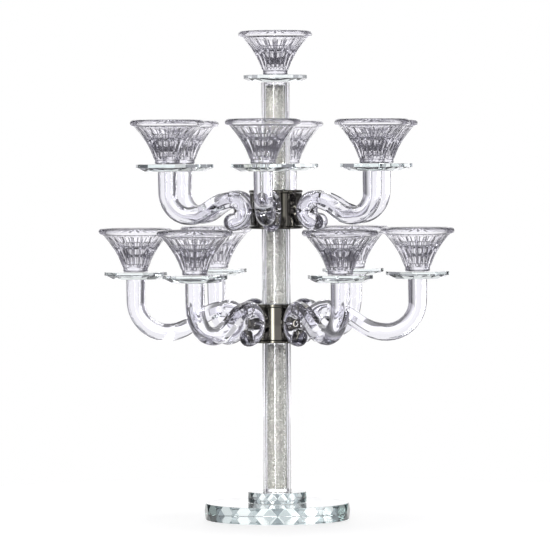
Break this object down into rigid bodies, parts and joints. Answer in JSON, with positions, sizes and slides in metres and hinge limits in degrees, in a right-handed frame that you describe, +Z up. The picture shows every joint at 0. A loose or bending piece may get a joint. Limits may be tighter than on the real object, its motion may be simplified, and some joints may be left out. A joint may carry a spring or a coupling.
{
  "type": "menorah",
  "caption": "Tall clear-glass candelabrum: faceted round foot, stem filled with crushed glass, metal hubs with tiers of scrolled arms, and a fluted candle cup on every arm and on top.",
  "frame": {"origin": "middle of the foot's underside", "axes": "+Z up the stem, -Y towards the front, +X to the right seen from the front"},
  "size_m": [0.3662, 0.3374, 0.5026],
  "materials": {
    "foot_glass": "polished, cut with flat lozenges and triangles round the edge, faintly green where the glass is thick",
    "tube_glass": "fire-polished clear tube",
    "crushed_glass": "packed crushed glass, grey-white with bright grains",
    "hub_nickel": "mirror-polished dark nickel plate, slightly warm",
    "plain_steel": "plain turned steel, hidden",
    "arm_glass": "polished solid rod with long flat facets cut along the slopes",
    "cup_glass": "pressed and polished, fluted outside, faintly lilac"
  },
  "bodies": {
    "stem": {"foot_disc": "foot_glass", "pedestal_disc": "foot_glass", "lower_stem_sleeve": "tube_glass", "lower_stem_vial": "tube_glass", "lower_stem_crushed_glass": "crushed_glass", "middle_stem_sleeve": "tube_glass", "middle_stem_vial": "tube_glass", "middle_stem_crushed_glass": "crushed_glass", "upper_stem_sleeve": "tube_glass", "upper_stem_vial": "tube_glass", "upper_stem_crushed_glass": "crushed_glass", "stem_top_plug": "tube_glass", "lower_hub_bottom_plate": "hub_nickel", "lower_hub_top_plate": "hub_nickel", "lower_hub_nipple": "plain_steel", "upper_hub_bottom_plate": "hub_nickel", "upper_hub_top_plate": "hub_nickel", "upper_hub_nipple": "plain_steel", "top_light_drip_disc": "cup_glass", "top_light_cup": "cup_glass"},
    "lower_tier": {"lower_hub_drum": "hub_nickel", "lower_arm_spider": "plain_steel", "lower_arm_1": "arm_glass", "lower_light_1_drip_disc": "cup_glass", "lower_light_1_cup": "cup_glass", "lower_arm_2": "arm_glass", "lower_light_2_drip_disc": "cup_glass", "lower_light_2_cup": "cup_glass", "lower_arm_3": "arm_glass", "lower_light_3_drip_disc": "cup_glass", "lower_light_3_cup": "cup_glass", "lower_arm_4": "arm_glass", "lower_light_4_drip_disc": "cup_glass", "lower_light_4_cup": "cup_glass", "lower_arm_5": "arm_glass", "lower_light_5_drip_disc": "cup_glass", "lower_light_5_cup": "cup_glass", "lower_arm_6": "arm_glass", "lower_light_6_drip_disc": "cup_glass", "lower_light_6_cup": "cup_glass"},
    "upper_tier": {"upper_hub_drum": "hub_nickel", "upper_arm_spider": "plain_steel", "upper_arm_1": "arm_glass", "upper_light_1_drip_disc": "cup_glass", "upper_light_1_cup": "cup_glass", "upper_arm_2": "arm_glass", "upper_light_2_drip_disc": "cup_glass", "upper_light_2_cup": "cup_glass", "upper_arm_3": "arm_glass", "upper_light_3_drip_disc": "cup_glass", "upper_light_3_cup": "cup_glass", "upper_arm_4": "arm_glass", "upper_light_4_drip_disc": "cup_glass", "upper_light_4_cup": "cup_glass", "upper_arm_5": "arm_glass", "upper_light_5_drip_disc": "cup_glass", "upper_light_5_cup": "cup_glass", "upper_arm_6": "arm_glass", "upper_light_6_drip_disc": "cup_glass", "upper_light_6_cup": "cup_glass"}
  },
  "joints": [
    {"name": "lower_swivel", "type": "hinge", "parent": "stem", "child": "lower_tier", "pos_m": [0, 0, 0.2022], "axis": [0, 0, 1], "continuous": true},
    {"name": "upper_swivel", "type": "hinge", "parent": "stem", "child": "upper_tier", "pos_m": [0, 0, 0.3193], "axis": [0, 0, 1], "continuous": true}
  ]
}
